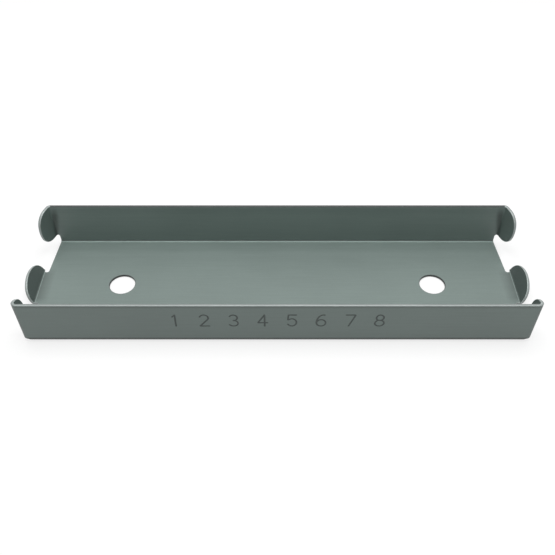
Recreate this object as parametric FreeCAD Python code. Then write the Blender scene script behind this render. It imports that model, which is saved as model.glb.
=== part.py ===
# Open tray folded from one sheet: a floor, two long walls and three rounded ears at each end.
# Millimetres, +Z up, X along the tray, Y from the front wall to the back wall, Z = 0 under the floor.
import FreeCAD, Part
import os
from math import radians, sin, cos, atan2, pi

V = FreeCAD.Vector

# sheet
sheet = 1.3
bend_inner = 0.8

# trough, outside to outside
trough_length = 220.0
trough_width = 63.4
wall_height = 23.4

# free ends of the walls and floor, back from the trough's length
end_setback = 2.9
end_slant = 1.3

# ears turned in from the walls: height along the bend, reach past it, lean outwards in
# degrees, and how far the bend stands back from the trough's length
back_ear_height = 18.1
back_ear_reach = 9.3
back_ear_lean = 18.8
back_ear_setback = 0.4
front_ear_height = 21.8
front_ear_reach = 7.6
front_ear_lean = 4.0
front_ear_setback = 0.0

# ear turned up from the floor, and how far its bend stands out past the wall ears
floor_ear_width = 21.1
floor_ear_reach = 7.8
floor_ear_lean = 21.3
floor_ear_step = 2.2

# the back and floor ears end in a shallow arc between two rounded corners, the front ears
# in one round. The corners start at least ear_side_least past the bend.
ear_corner_radius = 6.8
ear_tip_radius = 15.0
ear_side_least = 0.05

# cut-outs: a notch behind the floor ear's root and a slot under the front ear
notch_width = 2.2
notch_depth = 1.6
slot_width = 2.4
slot_top = 1.7

# concave rounds below the back ear's root and in front of the floor ear's
root_radius = 1.0

# round holes through the floor, a little behind its middle
hole_diameter = 11.8
hole_spacing = 144.6
hole_back = 1.1

bend_outer = bend_inner + sheet
half_length = trough_length / 2.0
half_width = trough_width / 2.0
end_x = half_length - end_setback
floor_end_x = end_x + end_slant
floor_bend_x = half_length + floor_ear_step


def trough():
    """Floor and both walls, cut square at end_x."""
    inner_floor = sheet
    y_out = half_width
    y_in = half_width - sheet
    y_bend = half_width - bend_outer
    k = 2.0 ** -0.5

    def p(y, z):
        return V(-end_x, y, z)

    def arc(side, radius, start_on_floor):
        low = p(side * y_bend, bend_outer - radius)
        mid = p(side * (y_bend + radius * k), bend_outer - radius * k)
        high = p(side * (y_bend + radius), bend_outer)
        if start_on_floor:
            return Part.Arc(low, mid, high).toShape()
        return Part.Arc(high, mid, low).toShape()

    def line(a, b):
        return Part.makeLine(p(*a), p(*b))

    edges = [
        line((-y_bend, 0), (y_bend, 0)),
        arc(1, bend_outer, True),
        line((y_out, bend_outer), (y_out, wall_height)),
        line((y_out, wall_height), (y_in, wall_height)),
        line((y_in, wall_height), (y_in, bend_outer)),
        arc(1, bend_inner, False),
        line((y_bend, inner_floor), (-y_bend, inner_floor)),
        arc(-1, bend_inner, True),
        line((-y_in, bend_outer), (-y_in, wall_height)),
        line((-y_in, wall_height), (-y_out, wall_height)),
        line((-y_out, wall_height), (-y_out, bend_outer)),
        arc(-1, bend_outer, False),
    ]
    return Part.Face(Part.Wire(edges)).extrude(V(2 * end_x, 0, 0))


def plate_outline(base, along, side, half, reach, cornered):
    """Closed outline of an ear past its bend, from one end of the bend to the other and back."""
    top = base + side * half
    bottom = base - side * half
    if not cornered:
        tip = Part.Arc(top, base + along * reach, bottom).toShape()
        return Part.Wire([tip, Part.makeLine(bottom, top)])

    r = ear_tip_radius
    tip_centre = reach - r
    # the largest corner that still leaves the least straight side on an ear this wide
    room = (r + half - (ear_side_least - tip_centre) ** 2 / (r - half)) / 2.0
    c = min(ear_corner_radius, room)
    straight = tip_centre + ((r - c) ** 2 - (half - c) ** 2) ** 0.5
    meet = atan2(half - c, straight - tip_centre)

    def round_at(distance, across, radius, angle):
        return (base + along * (distance + radius * cos(angle))
                + side * (across + radius * sin(angle)))

    def corner(sign, angle):
        return round_at(straight, sign * (half - c), c, sign * angle)

    middle = (meet + pi / 2.0) / 2.0
    return Part.Wire([
        Part.makeLine(top, corner(1, pi / 2.0)),
        Part.Arc(corner(1, pi / 2.0), corner(1, middle), corner(1, meet)).toShape(),
        Part.Arc(corner(1, meet), base + along * reach, corner(-1, meet)).toShape(),
        Part.Arc(corner(-1, meet), corner(-1, middle), corner(-1, pi / 2.0)).toShape(),
        Part.makeLine(corner(-1, pi / 2.0), bottom),
        Part.makeLine(bottom, top),
    ])


def ear(corner, out, up, side, width, reach, lean, root, cornered):
    """Rounded ear on a bend.

    The strip runs along out to the bend and turns towards up. corner is where its two outer
    faces would meet, halfway along the bend. root is how far the strip reaches back, and
    lean is how far short of a right angle the bend stops, in degrees.
    """
    a = radians(lean)
    turn = radians(90.0 - lean)
    centre = corner - out * bend_outer + up * bend_outer

    def on_bend(radius, angle):
        return centre + out * (radius * sin(angle)) - up * (radius * cos(angle))

    outer_end = on_bend(bend_outer, turn)
    inner_end = on_bend(bend_inner, turn)
    outer_root = on_bend(bend_outer, 0.0) - out * root
    inner_root = on_bend(bend_inner, 0.0) - out * root
    wire = Part.Wire([
        Part.makeLine(outer_root, on_bend(bend_outer, 0.0)),
        Part.Arc(on_bend(bend_outer, 0.0), on_bend(bend_outer, turn / 2.0), outer_end).toShape(),
        Part.makeLine(outer_end, inner_end),
        Part.Arc(inner_end, on_bend(bend_inner, turn / 2.0), on_bend(bend_inner, 0.0)).toShape(),
        Part.makeLine(on_bend(bend_inner, 0.0), inner_root),
        Part.makeLine(inner_root, outer_root),
    ])
    wire.translate(side * (-width / 2.0))
    strip = Part.Face(wire).extrude(side * width)

    along = out * sin(a) + up * cos(a)
    outline = plate_outline(outer_end, along, side, width / 2.0, reach, cornered)
    plate = Part.Face(outline).extrude(inner_end - outer_end)
    return strip.fuse(plate)


def wall_ear(sign, height, reach, lean, setback, cornered):
    """Ear at the right end of the back wall (sign 1) or the front wall (sign -1)."""
    corner = V(half_length - setback, sign * half_width, wall_height - height / 2.0)
    # the strip comes along the wall and turns towards the middle of the tray
    return ear(corner, V(1, 0, 0), V(0, -sign, 0), V(0, 0, 1), height, reach, lean,
               end_setback + 2.0, cornered)


def front_slot():
    """Round-topped slot that parts the front ear from the floor corner below it.

    Its inner block keeps the ear's root off the bend under the wall.
    """
    r = slot_width / 2.0
    depth = bend_outer + 2.0
    y0 = -half_width + bend_outer + 0.4 - depth
    box = Part.makeBox(slot_width, depth, slot_top - r + 1.0, V(end_x, y0, -1.0))
    round_top = Part.makeCylinder(r, depth, V(end_x + r, y0, slot_top - r), V(0, 1, 0))
    root_block = Part.makeBox(20.0, depth, bend_outer + 1.0, V(end_x - 20.0, y0, -1.0))
    return box.fuse([round_top, root_block])


def root_blend(corner, along, back, through):
    """Concave round where a free end (running back) meets the side of an ear (running along)."""
    r, lap = root_radius, 0.2
    a, b = corner + along * r, corner + back * r
    middle = corner + (along + back) * (r * (1.0 - 2.0 ** -0.5))
    inside = [b, b - along * lap, corner - along * lap - back * lap, a - back * lap, a]
    edges = [Part.Arc(a, middle, b).toShape()] + Part.makePolygon(inside).Edges
    return Part.Face(Part.Wire(edges)).extrude(through)


def floor_end():
    """The floor past end_x, slanting out to the root of the floor ear."""
    y_wall = half_width - bend_outer
    y_ear = floor_ear_width / 2.0
    outline = Part.makePolygon([
        V(end_x - 2.0, -y_wall, 0),
        V(end_x, -y_wall, 0),
        V(floor_end_x, -y_ear - root_radius, 0),
        V(floor_end_x, y_ear, 0),
        V(end_x, y_wall, 0),
        V(end_x - 2.0, y_wall, 0),
        V(end_x - 2.0, -y_wall, 0),
    ])
    return Part.Face(outline).extrude(V(0, 0, sheet))


def floor_notch():
    """Round-bottomed notch behind the floor ear, over the start of its bend."""
    r = notch_width / 2.0
    y_round = floor_ear_width / 2.0 - notch_depth + r
    tall = sheet + 2.0
    box = Part.makeBox(notch_width, notch_depth + 1.0, tall, V(floor_end_x, y_round, -1.0))
    return box.fuse(Part.makeCylinder(r, tall, V(floor_end_x + r, y_round, -1.0)))


def right_end():
    floor_ear = ear(V(floor_bend_x, 0, 0), V(1, 0, 0), V(0, 0, 1), V(0, 1, 0),
                    floor_ear_width, floor_ear_reach, floor_ear_lean,
                    floor_ear_step + end_setback, True)
    back_ear = wall_ear(1, back_ear_height, back_ear_reach, back_ear_lean, back_ear_setback, True)
    front_ear = wall_ear(-1, front_ear_height, front_ear_reach, front_ear_lean,
                         front_ear_setback, False)
    back_blend = root_blend(V(end_x, half_width - sheet, wall_height - back_ear_height),
                            V(1, 0, 0), V(0, 0, -1), V(0, sheet, 0))
    floor_blend = root_blend(V(floor_end_x, -floor_ear_width / 2.0, 0),
                             V(1, 0, 0), V(0, -1, 0), V(0, 0, sheet))
    return [floor_end(), floor_ear.cut(floor_notch()), floor_blend, back_ear, back_blend,
            front_ear.cut(front_slot())]


def floor_hole(x):
    return Part.makeCylinder(hole_diameter / 2.0, sheet + 2.0, V(x, hole_back, -1.0))


def folded_tray():
    ends = right_end()
    ends += [s.mirror(V(0, 0, 0), V(1, 0, 0)) for s in right_end()]
    body = trough().fuse(ends).removeSplitter()
    for x in (-hole_spacing / 2.0, hole_spacing / 2.0):
        body = body.cut(floor_hole(x))
    return body


os.makedirs("parts", exist_ok=True)
tray = folded_tray()
if len(tray.Solids) != 1:
    raise RuntimeError("the tray came out as %d solids" % len(tray.Solids))
tray.Solids[0].exportStep("parts/folded_tray.step")
box = tray.BoundBox
print("valid", tray.isValid(), "volume %.0f mm3" % tray.Volume)
print("box", [round(v, 2) for v in (box.XMin, box.XMax, box.YMin, box.YMax, box.ZMin, box.ZMax)])
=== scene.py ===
from math import asin, atan2, cos, hypot, pi, radians, sin

import bmesh
import bpy
from mathutils import Matrix, Vector


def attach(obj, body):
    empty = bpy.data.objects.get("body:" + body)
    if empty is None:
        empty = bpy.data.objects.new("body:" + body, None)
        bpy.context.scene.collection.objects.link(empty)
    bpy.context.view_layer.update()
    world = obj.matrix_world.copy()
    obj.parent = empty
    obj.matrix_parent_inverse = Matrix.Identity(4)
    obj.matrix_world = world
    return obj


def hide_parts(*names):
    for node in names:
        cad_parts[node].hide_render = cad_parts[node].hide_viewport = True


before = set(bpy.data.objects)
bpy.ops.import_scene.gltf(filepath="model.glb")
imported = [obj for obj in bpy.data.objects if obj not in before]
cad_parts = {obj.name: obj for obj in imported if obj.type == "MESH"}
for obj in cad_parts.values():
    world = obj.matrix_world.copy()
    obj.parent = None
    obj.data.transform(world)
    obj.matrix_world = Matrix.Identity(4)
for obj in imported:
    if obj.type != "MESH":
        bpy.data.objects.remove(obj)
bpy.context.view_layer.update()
mm = 0.001
print("frame loaded:", len(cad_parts), "node")


cameraView = {
    "place": (0.0001, -0.2158, 0.2353),   # metres, in front of the tray and above it
    "lookDown": 46.62,                    # degrees below level
    "lens": 44.35,                        # millimetres, as the sensor
    "sensor": 36.0,
    "nearest": 0.01,
}

softboxes = {                # metres and watts; "back" is how far behind the tray one hangs
    "topSoftbox": {"size": (0.9, 0.7), "height": 1.0, "back": 0.10, "power": 9.0},
    "frontSoftbox": {"size": (0.5, 0.4), "height": 0.5, "back": -0.8, "power": 0.85},
}

studio = {
    "surround": 0.20,        # strength of the even light from all round
    "tableHalf": 3.0,        # metres
    "tableDrop": 0.00005,    # keeps the table just below the tray
    "tableTone": 0.30,
    "tableRoughness": 0.9,
    "tableSpecular": 0.1,
    "tableLift": 0.73,       # what lifts the table to white where it is open
    "tableGlow": 0.22,       # light the table throws back
}

white = (1.0, 1.0, 1.0, 1.0)


def addToScene(thing):
    bpy.context.scene.collection.objects.link(thing)


def makeCamera(v):
    lens = bpy.data.cameras.new("camera")
    lens.lens = v["lens"]
    lens.sensor_width = v["sensor"]
    lens.clip_start = v["nearest"]
    camera = bpy.data.objects.new("camera", lens)
    camera.location = v["place"]
    camera.rotation_euler = (radians(90.0 - v["lookDown"]), 0.0, 0.0)
    addToScene(camera)
    bpy.context.scene.camera = camera


def makeSoftbox(name, box):
    # hangs on the tray's centre plane and faces the tray
    lamp = bpy.data.lights.new(name, "AREA")
    lamp.shape = "RECTANGLE"
    lamp.size, lamp.size_y = box["size"]
    lamp.energy = box["power"]
    light = bpy.data.objects.new(name, lamp)
    light.location = (0.0, box["back"], box["height"])
    light.rotation_euler.x = -atan2(box["back"], box["height"])
    addToScene(light)


def brightRays(nodes, links):
    # 1 for rays that show the background, seen straight or mirrored
    path = nodes.new("ShaderNodeLightPath")
    both = nodes.new("ShaderNodeMath")
    both.operation = "MAXIMUM"
    links.new(path.outputs["Is Camera Ray"], both.inputs[0])
    links.new(path.outputs["Is Glossy Ray"], both.inputs[1])
    return both.outputs[0]


def makeSurround(s):
    world = bpy.data.worlds.new("softSurround")
    world.use_nodes = True
    nodes, links = world.node_tree.nodes, world.node_tree.links
    background = nodes["Background"]
    background.inputs["Color"].default_value = white
    strength = nodes.new("ShaderNodeMapRange")
    strength.inputs["To Min"].default_value = s["surround"]
    strength.inputs["To Max"].default_value = 1.0
    links.new(brightRays(nodes, links), strength.inputs["Value"])
    links.new(strength.outputs["Result"], background.inputs["Strength"])
    bpy.context.scene.world = world


def makeTable(s):
    half, tone = s["tableHalf"], s["tableTone"]
    mesh = bpy.data.meshes.new("table")
    corners = [(-half, -half, 0), (half, -half, 0), (half, half, 0), (-half, half, 0)]
    mesh.from_pydata(corners, [], [(0, 1, 2, 3)])
    table = bpy.data.objects.new("table", mesh)
    table.location.z = -s["tableDrop"]
    addToScene(table)
    material = bpy.data.materials.new("whiteTable")
    material.use_nodes = True
    nodes, links = material.node_tree.nodes, material.node_tree.links
    shader = nodes["Principled BSDF"]
    shader.inputs["Base Color"].default_value = (tone, tone, tone, 1.0)
    shader.inputs["Roughness"].default_value = s["tableRoughness"]
    shader.inputs["Specular IOR Level"].default_value = s["tableSpecular"]
    shader.inputs["Emission Color"].default_value = white
    lift = nodes.new("ShaderNodeMapRange")
    lift.inputs["To Min"].default_value = s["tableGlow"]
    lift.inputs["To Max"].default_value = s["tableLift"]
    links.new(brightRays(nodes, links), lift.inputs["Value"])
    links.new(lift.outputs["Result"], shader.inputs["Emission Strength"])
    mesh.materials.append(material)


makeCamera(cameraView)
makeSurround(studio)
for name, box in softboxes.items():
    makeSoftbox(name, box)
makeTable(studio)
bpy.context.scene.view_settings.view_transform = "Standard"
print("camera, light and table ready")


grainLook = {
    "peelScale": 1900.0,     # fine orange peel
    "peelDetail": 2.0,
    "peelTone": 0.3,
    "rolledScale": 1400.0,   # rolling grain, drawn out along the tray
    "rolledDetail": 3.0,
    "rolledStretch": 0.035,
    "patchScale": 24.0,      # broad patches of tone
    "patchDetail": 3.0,
}


def makeGrainAndPaintedShade(look):
    # puts out the grain's tone and relief, and the painted light and shade round the folds
    group = bpy.data.node_groups.new("grainAndPaintedShade", "ShaderNodeTree")
    for name, value in (("Grain Size", 1.0), ("Rolling", 0.5), ("Patches", 0.5)):
        socket = group.interface.new_socket(name, in_out="INPUT", socket_type="NodeSocketFloat")
        socket.default_value = value
    for name in ("Tone", "Relief", "Shade"):
        group.interface.new_socket(name, in_out="OUTPUT", socket_type="NodeSocketFloat")
    nodes, links = group.nodes, group.links
    entry, out = nodes.new("NodeGroupInput"), nodes.new("NodeGroupOutput")
    place = nodes.new("ShaderNodeTexCoord")

    def noise(vector, scale, detail):
        texture = nodes.new("ShaderNodeTexNoise")
        texture.inputs["Scale"].default_value = scale
        texture.inputs["Detail"].default_value = detail
        links.new(vector, texture.inputs["Vector"])
        return texture.outputs["Fac"]

    def maths(operation, a, b):
        node = nodes.new("ShaderNodeMath")
        node.operation = operation
        for value, socket in ((a, node.inputs[0]), (b, node.inputs[1])):
            if isinstance(value, (int, float)):
                socket.default_value = value
            else:
                links.new(value, socket)
        return node.outputs[0]

    def toneOf(texture, amount):
        # the noise swings round 0.5
        return maths("MULTIPLY", maths("SUBTRACT", texture, 0.5), amount)

    sized = nodes.new("ShaderNodeVectorMath")
    sized.operation = "SCALE"
    links.new(place.outputs["Object"], sized.inputs[0])
    links.new(entry.outputs["Grain Size"], sized.inputs["Scale"])
    stretch = nodes.new("ShaderNodeMapping")
    stretch.inputs["Scale"].default_value = (look["rolledStretch"], 1.0, 1.0)
    links.new(place.outputs["Object"], stretch.inputs["Vector"])
    peel = noise(sized.outputs[0], look["peelScale"], look["peelDetail"])
    rolled = noise(stretch.outputs["Vector"], look["rolledScale"], look["rolledDetail"])
    patches = noise(place.outputs["Object"], look["patchScale"], look["patchDetail"])
    rolledTone = toneOf(rolled, entry.outputs["Rolling"])
    patchTone = toneOf(patches, entry.outputs["Patches"])
    tone = maths("ADD", maths("ADD", rolledTone, patchTone), toneOf(peel, look["peelTone"]))
    links.new(maths("ADD", tone, 0.5), out.inputs["Tone"])
    relief = maths("ADD", peel, maths("MULTIPLY", rolled, entry.outputs["Rolling"]))
    links.new(relief, out.inputs["Relief"])
    # painted light and shade for each point of the sheet, put there before it is folded
    shade = nodes.new("ShaderNodeAttribute")
    shade.attribute_name = "paintedLightAndShade"
    links.new(shade.outputs["Fac"], out.inputs["Shade"])
    return group


grainAndPaintedShade = makeGrainAndPaintedShade(grainLook)
bumpDepth = 0.2 * mm

finishes = {                 # "shaded" is how fully a finish takes the painted light and shade round the folds
    "satinCoat": {
        "dark": (0.170, 0.216, 0.201), "light": (0.229, 0.290, 0.270), "metal": 0.0, "gloss": (0.36, 0.48),
        "grain": 1.0, "rolling": 0.5, "patches": 0.7, "bump": 0.05, "shaded": 1.0},
    # cut edges: lighter than the coat, partly for the thin coat on them and partly as a painted highlight
    "cutEdge": {
        "dark": (0.26, 0.30, 0.29), "light": (0.41, 0.45, 0.44), "metal": 0.2, "gloss": (0.30, 0.46),
        "grain": 0.7, "rolling": 1.0, "patches": 0.9, "bump": 0.08, "shaded": 1.0},
    "pressedFigure": {
        "dark": (0.054, 0.070, 0.065), "light": (0.092, 0.114, 0.107), "metal": 0.0, "gloss": (0.46, 0.62),
        "grain": 1.4, "rolling": 0.3, "patches": 0.8, "bump": 0.10, "shaded": 0.0},
}


def makeFinish(name):
    f = finishes[name]
    material = bpy.data.materials.new(name)
    material.use_nodes = True
    nodes, links = material.node_tree.nodes, material.node_tree.links
    shader = nodes["Principled BSDF"]
    shader.inputs["Metallic"].default_value = f["metal"]
    grain = nodes.new("ShaderNodeGroup")
    grain.node_tree = grainAndPaintedShade
    grain.inputs["Grain Size"].default_value = f["grain"]
    grain.inputs["Rolling"].default_value = f["rolling"]
    grain.inputs["Patches"].default_value = f["patches"]
    colour = nodes.new("ShaderNodeMix")
    colour.data_type = "RGBA"
    colour.inputs["A"].default_value = (*f["dark"], 1.0)
    colour.inputs["B"].default_value = (*f["light"], 1.0)
    links.new(grain.outputs["Tone"], colour.inputs["Factor"])
    # multiplies the colour by the painted light and shade
    shaded = nodes.new("ShaderNodeMix")
    shaded.data_type = "RGBA"
    shaded.blend_type = "MULTIPLY"
    shaded.inputs["Factor"].default_value = f["shaded"]
    links.new(colour.outputs["Result"], shaded.inputs["A"])
    links.new(grain.outputs["Shade"], shaded.inputs["B"])
    links.new(shaded.outputs["Result"], shader.inputs["Base Color"])
    gloss = nodes.new("ShaderNodeMapRange")
    gloss.inputs["To Min"].default_value, gloss.inputs["To Max"].default_value = f["gloss"]
    links.new(grain.outputs["Tone"], gloss.inputs["Value"])
    links.new(gloss.outputs["Result"], shader.inputs["Roughness"])
    bump = nodes.new("ShaderNodeBump")
    bump.inputs["Strength"].default_value = f["bump"]
    bump.inputs["Distance"].default_value = bumpDepth
    links.new(grain.outputs["Relief"], bump.inputs["Height"])
    links.new(bump.outputs["Normal"], shader.inputs["Normal"])
    return material


print("finishes ready")


# the tray is a flat blank, cut to shape, pressed and then folded; millimetres and degrees
tray = {
    "sheet": 1.3,
    "bendInside": 0.8,
    "edgeRound": 0.28,
    "edgeSteps": 2,
    "halfWidth": 31.7,
    "wallHeight": 23.4,
    "endX": 107.1,           # free ends of the walls
    "endSlant": 1.3,         # how much further out the floor ends beside its ear
    "earRoot": 0.3,          # past the free end of a wall, all of the sheet belongs to an ear
    "holeAt": 72.3,
    "holeBack": 1.1,         # the holes lie a little behind the middle
    "holeRadius": 5.9,
    "bendRows": 9,
    "sharpOver": 42,         # edges that turn more than this stay sharp
}

# "wide" is along the bend; a corner of 0 makes the whole end of the ear one arc
# "shade" is painted shade on the inside of each ear
backEar = {
    "wide": 18.1, "reach": 9.3, "lean": 18.8, "bendX": 109.6, "corner": 6.8, "tip": 15.0, "shade": 0.84}
frontEar = {
    "wide": 21.8, "reach": 7.6, "lean": 4.0, "bendX": 110.0, "corner": 0.0, "tip": 0.0, "shade": 0.60}
floorEar = {
    "wide": 21.1, "reach": 7.8, "lean": 21.3, "bendX": 112.2, "corner": 6.8, "tip": 15.0, "shade": 0.49}

cutouts = {
    "notchWide": 2.2,        # behind the floor ear
    "notchDeep": 1.6,
    "slotRadius": 1.2,       # under the front ear
    "slotTop": 1.7,
    "slotClear": 1.0,        # how far the slot cuts into the ear
    "rootRound": 1.0,        # under the back ear and in front of the floor ear
}

arcSteps = {"wholeEar": 56, "earCorner": 20, "earTip": 32, "notch": 12, "slot": 16, "root": 8, "hole": 96}

near = {                     # how near counts as the same, in millimetres on the flat sheet
    "outline": 0.02,
    "blank": 0.002,
    "pressed": 0.0005,
    "sliver": 0.001,
    "face": 0.01,
    "share": 0.001,          # of a bend
    "flat": 0.3,             # degrees
}

bendOutside = tray["bendInside"] + tray["sheet"]
bendMiddle = tray["bendInside"] + tray["sheet"] / 2
floorHalf = tray["halfWidth"] - bendOutside             # where the floor starts to bend up
wallFoot = floorHalf + bendMiddle * pi / 2              # flat place where the wall is upright


def turnOf(ear):
    return radians(90.0 - ear["lean"])


def bendStart(ear):
    return ear["bendX"] - bendOutside


def bendEnd(ear):
    return bendStart(ear) + bendMiddle * turnOf(ear)


def onWall(z):
    # flat distance from the middle of the floor to height z on a wall
    return wallFoot + z - bendOutside


def arcPoints(centre, radius, first, last, steps):
    angles = [first + (last - first) * i / steps for i in range(steps + 1)]
    return [(centre[0] + radius * cos(a), centre[1] + radius * sin(a)) for a in angles]


def earOutline(ear, middle):
    # end of an ear past its bend, from its lower side to its upper one
    x, half, reach = bendEnd(ear), ear["wide"] / 2, ear["reach"]
    if not ear["corner"]:
        radius = (half * half + reach * reach) / (2 * reach)
        spread = asin(min(1.0, half / radius))
        return arcPoints((x + reach - radius, middle), radius, -spread, spread, arcSteps["wholeEar"])
    c, tip = ear["corner"], ear["tip"]
    tipCentre = x + reach - tip
    straight = tipCentre + ((tip - c) ** 2 - (half - c) ** 2) ** 0.5
    meet = atan2(half - c, straight - tipCentre)
    low = arcPoints((straight, middle - half + c), c, -pi / 2, -meet, arcSteps["earCorner"])
    high = arcPoints((straight, middle + half - c), c, meet, pi / 2, arcSteps["earCorner"])
    return low + arcPoints((tipCentre, middle), tip, -meet, meet, arcSteps["earTip"])[1:-1] + high


def floorCorner(atBack):
    # from the tip of the right floor ear, round the cut-out beside it, to the free end of a wall
    half, ear = floorEar["wide"] / 2, earOutline(floorEar, 0.0)
    floorEnd = tray["endX"] + tray["endSlant"]
    if atBack:
        r = cutouts["notchWide"] / 2
        bottom = (floorEnd + r, half - cutouts["notchDeep"] + r)
        gap = [(floorEnd + 2 * r, half)]
        gap += arcPoints(bottom, r, 0.0, -pi, arcSteps["notch"]) + [(floorEnd, half)]
    else:
        r = cutouts["rootRound"]
        gap = arcPoints((floorEnd + r, half + r), r, -pi / 2, -pi, arcSteps["root"])
    return ear[len(ear) // 2:] + gap + [(tray["endX"], floorHalf)]


def wallSide(ear):
    # from the free end of a wall round its ear to the middle of the wall's top
    e, low = tray["endX"], onWall(tray["wallHeight"] - ear["wide"])
    lobe = earOutline(ear, onWall(tray["wallHeight"] - ear["wide"] / 2))
    if ear is backEar:
        r = cutouts["rootRound"]
        gap = arcPoints((e + r, low - r), r, pi, pi / 2, arcSteps["root"])
    else:
        r = cutouts["slotRadius"]
        slotCentre = onWall(cutouts["slotTop"]) - r
        slotEnd = asin(max(0.0, min(1.0, (low - slotCentre) / r)))
        gap = arcPoints((e + r, slotCentre), r, pi, slotEnd, arcSteps["slot"])
        lobe = [p for p in lobe if p[1] > low + cutouts["slotClear"] or p[0] > e + 2 * r]
    return gap + lobe + [(0.0, onWall(tray["wallHeight"]))]


def blankOutline():
    back = floorCorner(True) + wallSide(backEar)
    front = floorCorner(False) + wallSide(frontEar)
    outline = back[:-1] + [(-x, y) for x, y in reversed(back)][1:]
    outline += [(-x, -y) for x, y in front][1:-1] + [(x, -y) for x, y in reversed(front)][1:-1]
    kept = [outline[0]]
    for p in outline[1:]:
        if hypot(p[0] - kept[-1][0], p[1] - kept[-1][1]) > near["outline"]:
            kept.append(p)
    return kept


def holeOutlines():
    return [arcPoints((side * tray["holeAt"], tray["holeBack"]), tray["holeRadius"],
                      0.0, 2 * pi, arcSteps["hole"])[:-1] for side in (-1, 1)]


def asMesh(thing):
    bpy.context.view_layer.update()
    return bpy.data.meshes.new_from_object(thing.evaluated_get(bpy.context.evaluated_depsgraph_get()))


def makeBlank():
    # a filled curve gives the plate its rounded, sheared edges
    curve = bpy.data.curves.new("blank", "CURVE")
    curve.dimensions = "2D"
    curve.fill_mode = "BOTH"
    r = tray["edgeRound"]
    curve.extrude = tray["sheet"] / 2 - r
    curve.bevel_depth = r
    curve.bevel_resolution = tray["edgeSteps"]
    curve.offset = -r
    for points in [blankOutline()] + holeOutlines():
        spline = curve.splines.new("POLY")
        spline.points.add(len(points) - 1)
        for point, (x, y) in zip(spline.points, points):
            point.co = (x, y, 0.0, 1.0)
        spline.use_cyclic_u = True
    shape = bpy.data.objects.new("blank", curve)
    addToScene(shape)
    mesh = asMesh(shape)
    bpy.data.objects.remove(shape)
    mesh.transform(Matrix.Translation((0.0, 0.0, tray["sheet"] / 2)))
    work = bmesh.new()
    work.from_mesh(mesh)
    bmesh.ops.remove_doubles(work, verts=work.verts, dist=near["blank"])
    flat = radians(near["flat"])
    bmesh.ops.dissolve_limit(work, angle_limit=flat, verts=work.verts, edges=work.edges)
    work.to_mesh(mesh)
    work.free()
    return mesh


figures = {                  # numbers pressed into the front wall
    "shown": "12345678",
    "step": 12.3,            # from one to the next
    "height": 7.15,          # between the middles of the strokes
    "width": 4.0,
    "upWall": 14.15,         # middle of the row above the table
    "toolRadius": 0.43,
    "toolSides": 20,
    "toolEnds": (0.4, 0.8, 1.2),    # angles at which a tool's end is rounded, in radians
    "depth": 0.22,
    "pressed": (0.002, 0.5),        # depths that take the darker finish
    "zone": (60, 6),                # half of the length and height that hold the row
}


def swing(x, y, rx, ry, first, last, steps=18):
    # part of an ellipse, angles in degrees
    angles = [radians(first + (last - first) * i / steps) for i in range(steps + 1)]
    return [(x + rx * cos(a), y + ry * sin(a)) for a in angles]


def figureStrokes(sign):
    # strokes in halves of the figure's width and height; a ring is given as a closed one
    strokes = {
        "1": [[(-0.45, 0.66), (0.06, 0.98)], [(0.1, 1.0), (0.1, -1.0)]],
        "2": [swing(0, 0.47, 0.92, 0.53, 160, -28) + [(-0.92, -0.98)],
              [(-0.86, -1.0), (1.0, -1.0)]],
        "3": [swing(0, 0.5, 0.84, 0.5, 150, -88), swing(0, -0.49, 0.96, 0.51, 84, -150)],
        "4": [[(0.42, -1.0), (0.42, 0.96)], [(0.38, 1.0), (-0.96, -0.36)],
              [(-0.9, -0.4), (1.0, -0.4)]],
        "5": [[(0.86, 1.0), (-0.7, 1.0)], [(-0.74, 0.96), (-0.84, 0.14)],
              swing(0, -0.34, 0.96, 0.66, 134, -150)],
        "6": [swing(0, -0.42, 0.96, 0.58, 0, 340), swing(0.42, -0.42, 1.42, 1.42, 178, 80)],
        "7": [[(-0.94, 1.0), (0.92, 1.0)], [(0.96, 0.96), (-0.3, -1.0)]],
        "8": [swing(0, 0.51, 0.78, 0.49, 0, 340), swing(0, -0.47, 0.96, 0.53, 10, 350)],
    }
    rings = {"6": [0], "8": [0, 1]}
    return [(points, i in rings.get(sign, [])) for i, points in enumerate(strokes[sign])]


def makeStroke(points, closed):
    # round-ended tube along a stroke, lying so that only its crest bites into the sheet
    r, around = figures["toolRadius"], figures["toolSides"]
    level = figures["depth"] - r
    path = [Vector((x, y, level)) for x, y in points]
    count = len(path)
    stations = []
    for i, p in enumerate(path):
        before = path[i - 1] if closed or i else p
        after = path[(i + 1) % count] if closed or i < count - 1 else p
        stations.append((p, (after - before).normalized(), r))
    if not closed:
        for place, way in ((0, -1), (-1, 1)):
            p, tangent, _ = stations[place]
            ends = [(p + tangent * way * r * sin(a), tangent, r * cos(a)) for a in figures["toolEnds"]]
            stations = ends[::-1] + stations if way < 0 else stations + ends
    work = bmesh.new()
    angles = [2 * pi * k / around for k in range(around)]
    rings = []
    for p, tangent, size in stations:
        side = Vector((-tangent.y, tangent.x, 0.0))
        ring = [p + side * size * cos(a) + Vector((0, 0, size * sin(a))) for a in angles]
        rings.append([work.verts.new(place) for place in ring])
    pairs = list(zip(rings, rings[1:])) + ([(rings[-1], rings[0])] if closed else [])
    for a, b in pairs:
        for k in range(around):
            work.faces.new((a[k], a[(k + 1) % around], b[(k + 1) % around], b[k]))
    if not closed:
        work.faces.new(rings[0])
        work.faces.new(rings[-1])
    bmesh.ops.recalc_face_normals(work, faces=work.faces)
    mesh = bpy.data.meshes.new("stroke")
    work.to_mesh(mesh)
    work.free()
    return mesh


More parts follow.
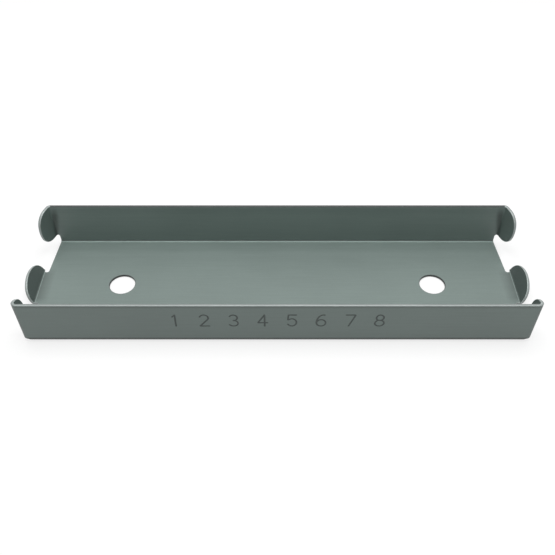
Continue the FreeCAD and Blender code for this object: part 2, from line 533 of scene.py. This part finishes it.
def pressFigures(mesh):
    f = figures
    plate = bpy.data.objects.new("plate", mesh)
    addToScene(plate)
    tools = []
    for i, sign in enumerate(f["shown"]):
        middle = (i - (len(f["shown"]) - 1) / 2) * f["step"]
        for points, closed in figureStrokes(sign):
            flat = [(middle + x * f["width"] / 2, -onWall(f["upWall"] + y * f["height"] / 2))
                    for x, y in points]
            tool = bpy.data.objects.new("tool", makeStroke(flat, closed))
            addToScene(tool)
            tools.append(tool)
            cut = plate.modifiers.new("press", "BOOLEAN")
            cut.operation, cut.solver, cut.object = "DIFFERENCE", "EXACT", tool
    pressed = asMesh(plate)
    for o in tools + [plate]:
        bpy.data.objects.remove(o)
    return pressed


def bend(along, height, start, turn):
    # carries a point of the flat sheet round a bend; height 0 is the outside
    if along <= start:
        return along, height
    angle = min((along - start) / bendMiddle, turn)
    rest = max(0.0, along - start - bendMiddle * turn)
    r = bendOutside - height
    return (start + r * sin(angle) + rest * cos(turn),
            bendOutside - r * cos(angle) + rest * sin(turn))


def fold(p):
    sideX, sideY = (1 if p.x >= 0 else -1), (1 if p.y >= 0 else -1)
    x, y, z = abs(p.x), abs(p.y), p.z
    if y < floorHalf:
        x, z = bend(x, z, bendStart(floorEar), turnOf(floorEar))
    else:
        onEar = x > tray["endX"] + tray["earRoot"]
        ear = backEar if sideY > 0 else frontEar
        x, z = bend(x, z, bendStart(ear), turnOf(ear))
        if onEar:
            y, z = floorHalf + bendOutside - z, bendOutside + y - wallFoot
        else:
            y, z = bend(y, z, floorHalf, pi / 2)
    return Vector((sideX * x, sideY * y, z)) * mm


foldShades = {               # painted light and shade, as factors on the coat's colour against the plain wall and floor
    "earBand": 0.45,         # painted shade: core of the dark band down the inside of a wall ear's bend
    "bandTop": -2.0,         # where it lies past the start of the bend, at the wall's top and foot
    "bandFoot": 2.3,
    "bandHalf": 0.7,
    "bandFade": 1.6,
    "bandEnd": 0.22,         # share of the wall over which it fades away at the top
    # painted shade on the outside of the ears, deepest along their bends
    "earOutside": 0.85,
    "outerFold": 0.62,
    "wallTop": 1.21,         # painted light and shade on the inside of the walls, from their tops down to their feet
    "wallFoot": 0.92,
    "foot": 4.2,             # painted highlight along the inside of the bends below, and painted shade in the crease over it
    "footWide": 0.3,
    "footEdge": 0.12,
    "crease": 0.6,
    "floor": (               # painted shadow of the back wall across the floor, with painted light beside the bends: distance from the bend behind to the one in front, and tone
        (0.0, 1.28), (5.0, 0.98), (10.5, 0.88), (20.0, 0.945), (36.0, 1.0), (54.2, 1.0), (59.2, 1.22)),
    "besideEar": 0.58,       # painted shade on the floor beside the floor ear, fading towards the middle
    "besideEarReach": 5.5,
    "besideEarRows": (0.1, 0.3, 0.65, 1.0),     # shares of that reach
    "earSideRows": (1, 0, -1.5, -3),            # it fades in between these, past the ear's side
    # painted highlight along the foot of the floor ear's bend
    "floorEarFoot": 1.3,
    "floorEarFade": (0.15, 0.25),               # share of the bend where that ends, and its fade
    "outsideTop": 0.98,      # painted shade on the outside of the walls, from their tops down to their feet
    "outsideFoot": 0.90,
    "heels": (0.35, 0.75),   # painted shade on the outside of the bends below, in front and behind, and on a line over them
    "heelLine": 0.35,
    "underRim": 0.70,        # line along the outside of the walls below their tops
    "rimLine": 0.8,
    "rimReach": 1.0,         # cut edges lower than this below the tops stay plain
    "frontRims": (1.0, 0.64),    # painted light and shade: outer and inner half of the cut edges
    "backRims": (0.4, 0.1),
    "earRims": (0.72, 1.16),
    # painted shade on the holes' inner walls
    "holeRim": 0.16,
    "holeRimReach": 0.2,
}

shadeRows = {                # more rows for the painted light and shade
    "wall": 8,               # parts of a wall's height
    "beforeEar": (6, 0.6),   # how many before a front ear's bend and past it, and their steps
    "pastEar": (4, 0.7),
}


def blend(a, b, share):
    share = max(0.0, min(1.0, share))
    return a + (b - a) * share


def toneAt(points, distance):
    for (start, tone), (end, nextTone) in zip(points, points[1:]):
        if distance <= end:
            return blend(tone, nextTone, (distance - start) / (end - start))
    return points[-1][1]


def bendRows():
    # places and directions where the flat sheet is divided so that it can bend and take its painted light
    # and shade
    rows = []
    steps, f, r = tray["bendRows"], foldShades, shadeRows
    top, earSide = onWall(tray["wallHeight"]), floorEar["wide"] / 2
    acrossTray = [floorHalf - f["footEdge"]]
    acrossTray += [wallFoot + i * f["heelLine"] for i in (1, 2)]
    acrossTray += [top - i * f["rimLine"] for i in (1, 2)]
    acrossTray += [earSide + past for past in f["earSideRows"]]
    acrossTray += [blend(wallFoot, top, i / r["wall"]) for i in range(1, r["wall"])]
    count, step = r["beforeEar"]
    alongTray = [bendStart(frontEar) - step * i for i in range(1, count + 1)]
    count, step = r["pastEar"]
    alongTray += [bendEnd(frontEar) + step * i for i in range(1, count + 1)]
    alongTray += [bendStart(floorEar) - share * f["besideEarReach"] for share in f["besideEarRows"]]
    for side in (-1, 1):
        for i in range(steps + 1):
            share = i / steps
            rows.append(((0, side * blend(floorHalf, wallFoot, share), 0), (0, 1, 0)))
            for ear in (backEar, frontEar, floorEar):
                x = blend(bendStart(ear), bendEnd(ear), share)
                rows.append(((side * x, 0, 0), (1, 0, 0)))
        for y in acrossTray:
            rows.append(((0, side * y, 0), (0, 1, 0)))
        for x in alongTray:
            rows.append(((side * x, 0, 0), (1, 0, 0)))
    rows += [((0, floorHalf - distance, 0), (0, 1, 0)) for distance, _ in f["floor"][1:-1]]
    return rows


def upWall(p):
    # 0 at the foot of a wall and 1 at its top
    return (abs(p.y) - wallFoot) / (onWall(tray["wallHeight"]) - wallFoot)


def isInside(p):
    # on the half of the sheet that faces the coins
    return p.z > tray["sheet"] / 2


def isOnEdge(p):
    # between the sheet's two faces
    return min(p.z, tray["sheet"] - p.z) > near["face"]


def isAtHole(p, reach):
    return hypot(abs(p.x) - tray["holeAt"], p.y - tray["holeBack"]) < tray["holeRadius"] + reach


def isAtFigures(p):
    long, high = figures["zone"]
    return abs(p.x) < long and -onWall(figures["upWall"] + high) < p.y < -onWall(figures["upWall"] - high)


def bandShade(p, ear):
    # the painted dark band of shade down a wall ear's bend leans in towards the wall's top
    f = foldShades
    off = abs(p.x) - bendStart(ear) - blend(f["bandFoot"], f["bandTop"], upWall(p))
    core = blend(1.0, f["earBand"], (1 - upWall(p)) / f["bandEnd"])
    return blend(core, 1.0, (abs(off) - f["bandHalf"]) / f["bandFade"])


# painted light and shade on the ears: darker inside and out, deepest along their bends, with a painted
# highlight at the floor ear's foot
def earShade(p, ear, past):
    # past is 0 where the ear's bend starts and 1 where it ends
    f, share = foldShades, min(1.0, past)
    if not isInside(p):
        return blend(1.0, f["earOutside"], share) - (1 - f["outerFold"]) * sin(pi * share)
    if ear is floorEar:
        start, fade = f["floorEarFade"]
        return blend(f["floorEarFoot"], ear["shade"], (share - start) / fade)
    wall = blend(f["wallFoot"], f["wallTop"], upWall(p))
    return blend(wall, ear["shade"], share) * bandShade(p, ear)


# painted light and shade on the floor's inside: the back wall's painted shadow, lighter strips beside the
# bends, a painted highlight along them and painted shade beside the floor ear
def floorShade(p):
    f = foldShades
    if not isInside(p):
        return 1.0
    if floorHalf - abs(p.y) < near["face"]:
        return f["foot"]
    outer, inner = f["earSideRows"][0], f["earSideRows"][-1]
    beside = blend(f["besideEar"], 1.0, (bendStart(floorEar) - abs(p.x)) / f["besideEarReach"])
    beside = blend(1.0, beside, (floorEar["wide"] / 2 + outer - abs(p.y)) / (outer - inner))
    return toneAt(f["floor"], floorHalf - p.y) * beside


# inside the bends below, a painted highlight and painted shade in the crease over it; outside them,
# painted shade
def bendShade(p):
    f = foldShades
    if not isInside(p):
        return f["heels"][p.y > 0]
    return f["foot"] if abs(p.y) - floorHalf < f["footWide"] else f["crease"]


# painted light and shade on the walls: inside lighter at the top and darker at the foot, with the ear's
# band; outside darker towards the foot and along the heel
def wallShade(p, ear):
    f = foldShades
    if isInside(p):
        return blend(f["wallFoot"], f["wallTop"], upWall(p)) * bandShade(p, ear)
    plain = blend(f["outsideFoot"], f["outsideTop"], upWall(p))
    heel = blend(f["heels"][p.y > 0], 1.0, (abs(p.y) - wallFoot) / f["heelLine"] - 1)
    fromTop = onWall(tray["wallHeight"]) - abs(p.y)
    return plain * heel * blend(f["underRim"], 1.0, fromTop / f["rimLine"] - 1)


# painted light and shade on the cut edges
def rimShade(p, onEar):
    f = foldShades
    if onEar:
        return f["earRims"][isInside(p)]
    if abs(p.y) < onWall(tray["wallHeight"]) - f["rimReach"]:
        return 1.0
    return f["backRims" if p.y > 0 else "frontRims"][isInside(p)]


def shadeOf(p):
    # painted light and shade for a point, worked out on the flat sheet
    ear = floorEar if abs(p.y) < floorHalf else backEar if p.y > 0 else frontEar
    past = (abs(p.x) - bendStart(ear)) / (bendEnd(ear) - bendStart(ear))
    up = (abs(p.y) - floorHalf) / (wallFoot - floorHalf)
    if isAtHole(p, foldShades["holeRimReach"]):
        return foldShades["holeRim"]
    if isOnEdge(p):
        return rimShade(p, past > near["share"])
    if past > near["share"]:
        return earShade(p, ear, past)
    if up < near["share"]:
        return floorShade(p)
    if up > 1 - near["share"]:
        return wallShade(p, ear)
    return bendShade(p)


trayFinishes = ("satinCoat", "cutEdge", "pressedFigure")
edgeTilt = 0.93              # a cut edge's faces point less than this up or down
holeEdge = 0.1               # the holes' edges stay in the plain coat


def finishOf(face):
    centre = face.calc_center_median()
    if isAtFigures(centre):
        least, most = figures["pressed"]
        return "pressedFigure" if least < centre.z < most else "satinCoat"
    if abs(face.normal.z) < edgeTilt and isOnEdge(centre) and not isAtHole(centre, holeEdge):
        return "cutEdge"
    return "satinCoat"


def foldTray(mesh):
    work = bmesh.new()
    work.from_mesh(mesh)
    bmesh.ops.remove_doubles(work, verts=work.verts, dist=near["pressed"])
    # pressing leaves slits of no width along straight lines; they are filled and drawn shut
    bmesh.ops.holes_fill(work, edges=[e for e in work.edges if e.is_boundary])
    bmesh.ops.dissolve_degenerate(work, edges=work.edges, dist=near["sliver"])
    for place, direction in bendRows():
        parts = work.verts[:] + work.edges[:] + work.faces[:]
        bmesh.ops.bisect_plane(work, geom=parts, dist=near["pressed"], plane_co=place, plane_no=direction)
    work.normal_update()
    for face in work.faces:
        face.material_index = trayFinishes.index(finishOf(face))
    # painted light and shade for each point, worked out on the flat sheet
    shade = work.verts.layers.float.new("paintedLightAndShade")
    for vertex in work.verts:
        vertex[shade] = shadeOf(vertex.co)
        vertex.co = fold(vertex.co)
    bmesh.ops.recalc_face_normals(work, faces=work.faces)
    for face in work.faces:
        face.smooth = True
    sharp = radians(tray["sharpOver"])
    for edge in work.edges:
        edge.smooth = not edge.is_manifold or edge.calc_face_angle(0.0) < sharp
    print("open edges:", sum(not e.is_manifold for e in work.edges))
    work.to_mesh(mesh)
    work.free()


blankMesh = makeBlank()
print("blank:", len(blankMesh.vertices), "points")
trayMesh = pressFigures(blankMesh)
print("numbers pressed:", len(trayMesh.vertices), "points")
foldTray(trayMesh)
foldedTray = bpy.data.objects.new("foldedTray", trayMesh)
addToScene(foldedTray)
for name in trayFinishes:
    trayMesh.materials.append(makeFinish(name))
steady = foldedTray.modifiers.new("steadyNormals", "WEIGHTED_NORMAL")
steady.keep_sharp = True
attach(foldedTray, "root")
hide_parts("folded_tray")
print("tray folded:", len(trayMesh.polygons), "faces")
